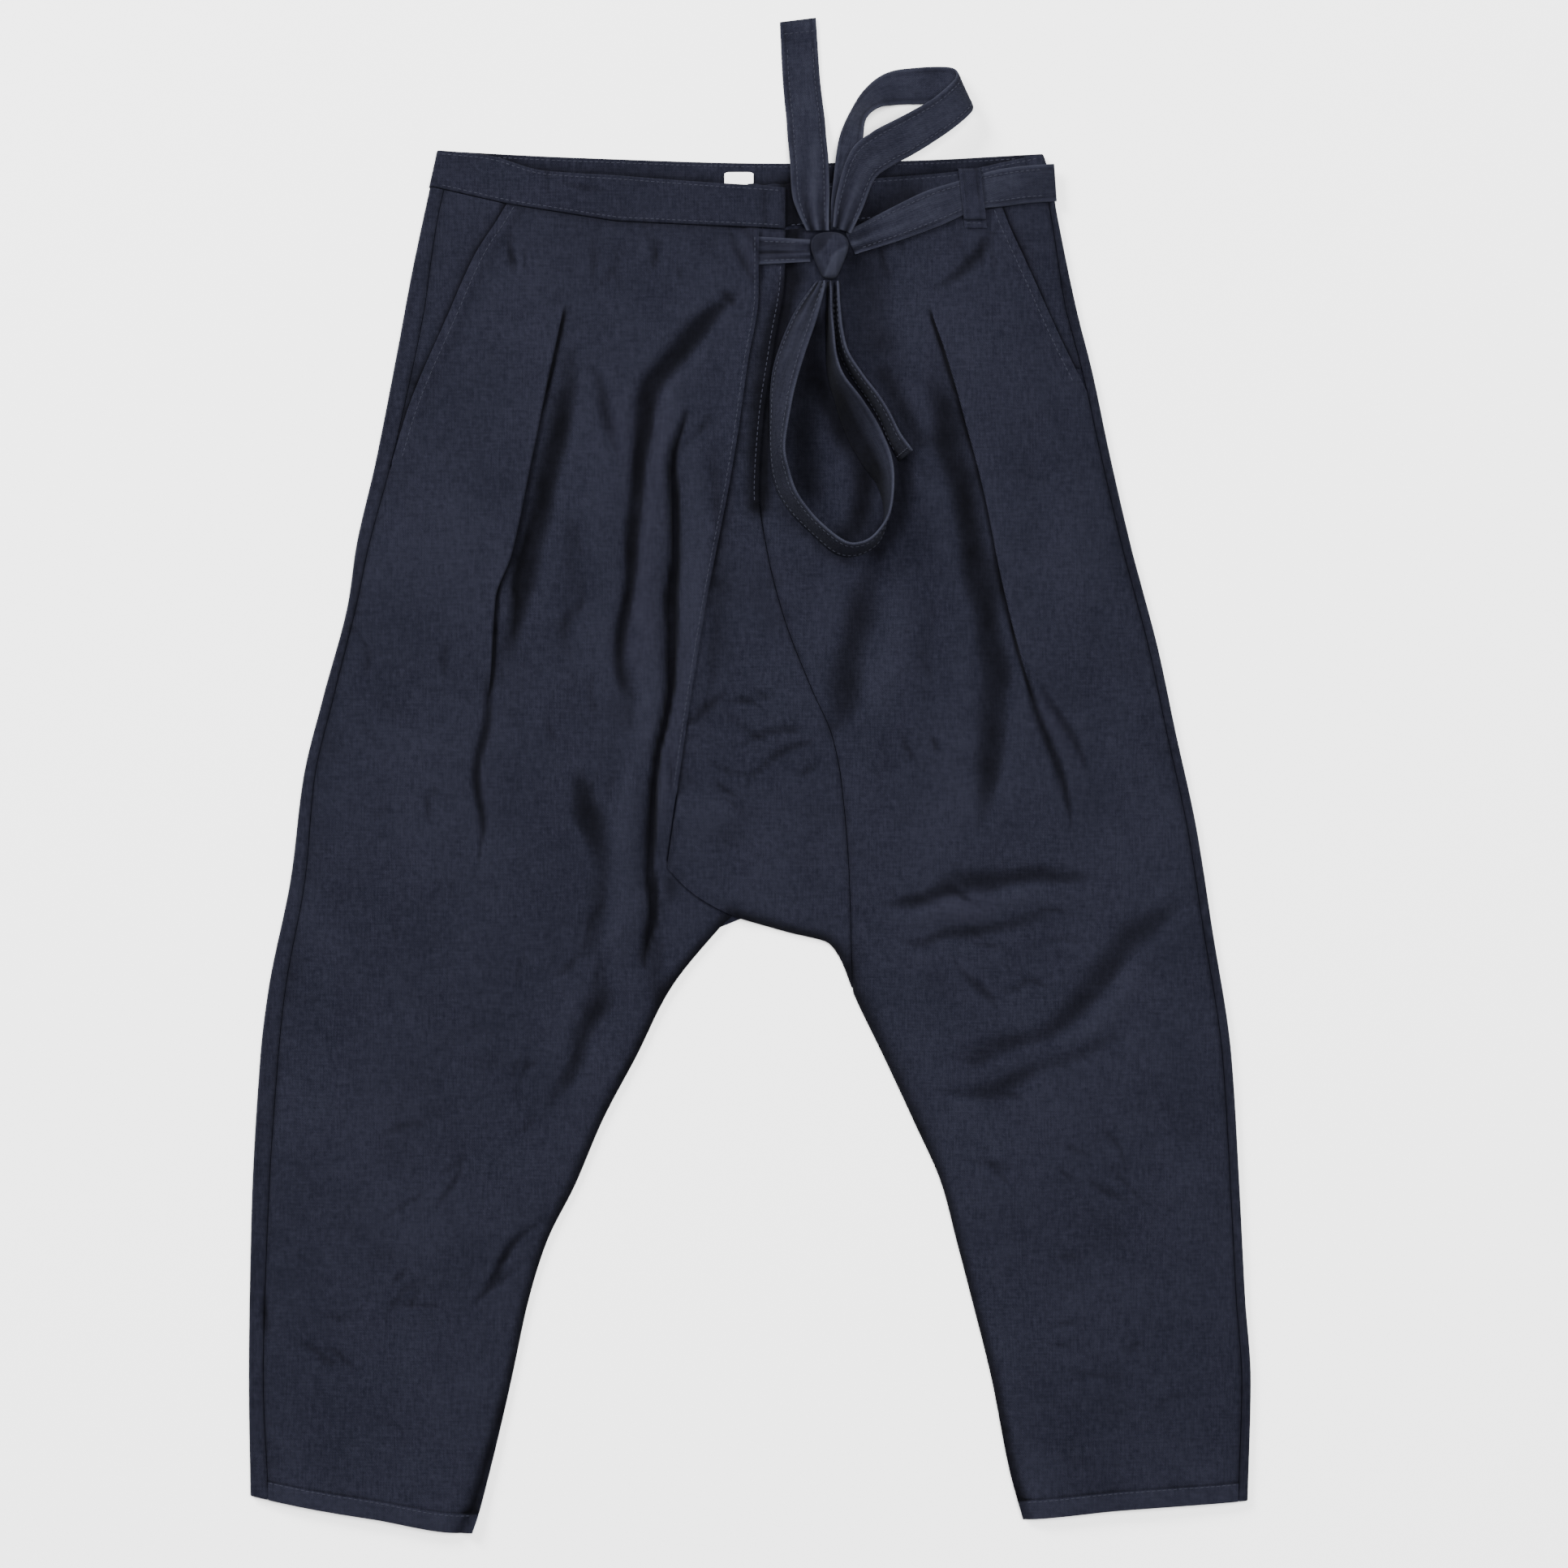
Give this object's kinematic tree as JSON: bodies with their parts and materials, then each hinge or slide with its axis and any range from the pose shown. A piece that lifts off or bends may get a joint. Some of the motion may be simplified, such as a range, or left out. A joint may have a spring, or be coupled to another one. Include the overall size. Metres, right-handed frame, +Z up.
{
  "type": "trousers",
  "caption": "Cropped wrap-front trousers with a dropped crotch, pressed pleats and a tie knotted in a bow, laid flat with the front up.",
  "frame": {"origin": "centre of the garment's footprint, on the surface that it lies on", "axes": "+Y from the hems to the waist, +X from the wearer's right to the wearer's left, +Z up out of the front"},
  "size_m": [0.6662, 1.0076, 0.0331],
  "materials": {
    "twill": "matt brushed cotton twill, garment dyed",
    "tape": "matt cotton twill, folded and stitched",
    "label": "plain white woven tape, blank"
  },
  "bodies": {
    "root": {"back_right": "twill", "back_left": "twill", "front_right": "twill", "front_left": "twill", "front_centre": "twill", "pocket_right": "twill", "pocket_left": "twill", "waistband_right": "twill", "waistband_left": "twill", "waistband_back": "twill", "belt_loop": "twill", "tie_right": "tape", "tie_left": "tape", "tie_knot": "tape", "bow_end_up": "tape", "bow_loop_up": "tape", "bow_loop_down": "tape", "bow_end_down": "tape", "size_label": "label"}
  },
  "joints": []
}
